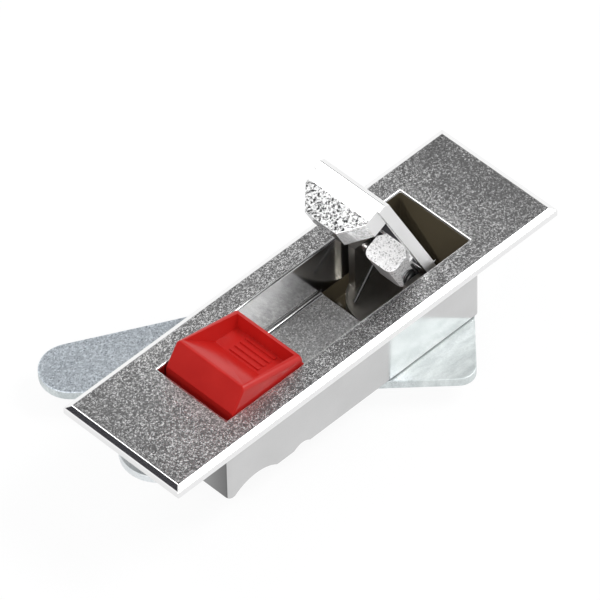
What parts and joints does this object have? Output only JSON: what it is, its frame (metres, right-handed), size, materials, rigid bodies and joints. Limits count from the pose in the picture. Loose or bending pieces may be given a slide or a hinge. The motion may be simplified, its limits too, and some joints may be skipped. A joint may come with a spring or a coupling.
{
  "type": "pushbutton cabinet lock",
  "caption": "Flush cabinet lock: pressing a rocking button frees a pop-up handle, which lifts and turns a flat tongue behind the panel.",
  "frame": {"origin": "middle of the body cut-out, on the flange face that seats on the front of the panel", "axes": "+X along the plate from the button to the handle pivot, +Y across the plate, +Z out of the front face"},
  "size_m": [0.1179, 0.0728, 0.0613],
  "materials": {
    "housing_chrome": "bright plated zinc casting, sparkling cast texture on the face, polished bevel and sides",
    "button_red": "gloss red moulded plastic",
    "pin_steel": "ground steel pin",
    "spring_steel": "bright spring wire",
    "handle_chrome": "bright plated zinc casting, grained end faces, polished sides",
    "rotor_chrome": "plated zinc casting",
    "washer_plastic": "natural plastic washer",
    "seal_rubber": "black rubber",
    "tongue_zinc": "zinc plated sheet steel, fine grain",
    "clamp_zinc": "zinc plated sheet steel",
    "fastener_zinc": "zinc plated steel"
  },
  "bodies": {
    "housing": {"housing": "housing_chrome", "button_pin": "pin_steel", "button_spring": "spring_steel", "stop_pin": "pin_steel", "friction_washer": "washer_plastic", "clamp_stud_left": "fastener_zinc", "clamp_stud_right": "fastener_zinc"},
    "button": {"button": "button_red"},
    "rotor": {"rotor": "rotor_chrome", "handle_pin": "pin_steel", "handle_spring": "spring_steel", "seal_ring": "seal_rubber", "tongue": "tongue_zinc", "flat_washer": "fastener_zinc", "spring_washer": "fastener_zinc", "tongue_bolt": "fastener_zinc"},
    "handle": {"handle": "handle_chrome"},
    "clamp_left": {"clamp_left": "clamp_zinc", "clamp_nut_left": "fastener_zinc"},
    "clamp_right": {"clamp_right": "clamp_zinc", "clamp_nut_right": "fastener_zinc"}
  },
  "joints": [
    {"name": "button_press", "type": "hinge", "parent": "housing", "child": "button", "pos_m": [-0.01635, 0, -0.0066], "axis": [0, -1, 0], "range_deg": [0, 9], "stiffness_Nm_per_rad": 0.24, "springref_deg": -5.73, "deforming": ["button_spring"]},
    {"name": "handle_lift", "type": "hinge", "parent": "rotor", "child": "handle", "pos_m": [0.02406, 0, -0.003], "axis": [0, 1, 0], "range_deg": [-64, 0], "stiffness_Nm_per_rad": 0.05, "springref_deg": 34.38, "deforming": ["handle_spring"]},
    {"name": "rotor_turn", "type": "hinge", "parent": "housing", "child": "rotor", "pos_m": [0.02406, 0, -0.018], "axis": [0, 0, 1], "range_deg": [0, 90]},
    {"name": "clamp_left_draw", "type": "slide", "parent": "housing", "child": "clamp_left", "axis": [0, 0, 1], "range_m": [-0.0025, 0.0048]},
    {"name": "clamp_right_draw", "type": "slide", "parent": "housing", "child": "clamp_right", "axis": [0, 0, 1], "range_m": [-0.0025, 0.0048]}
  ]
}
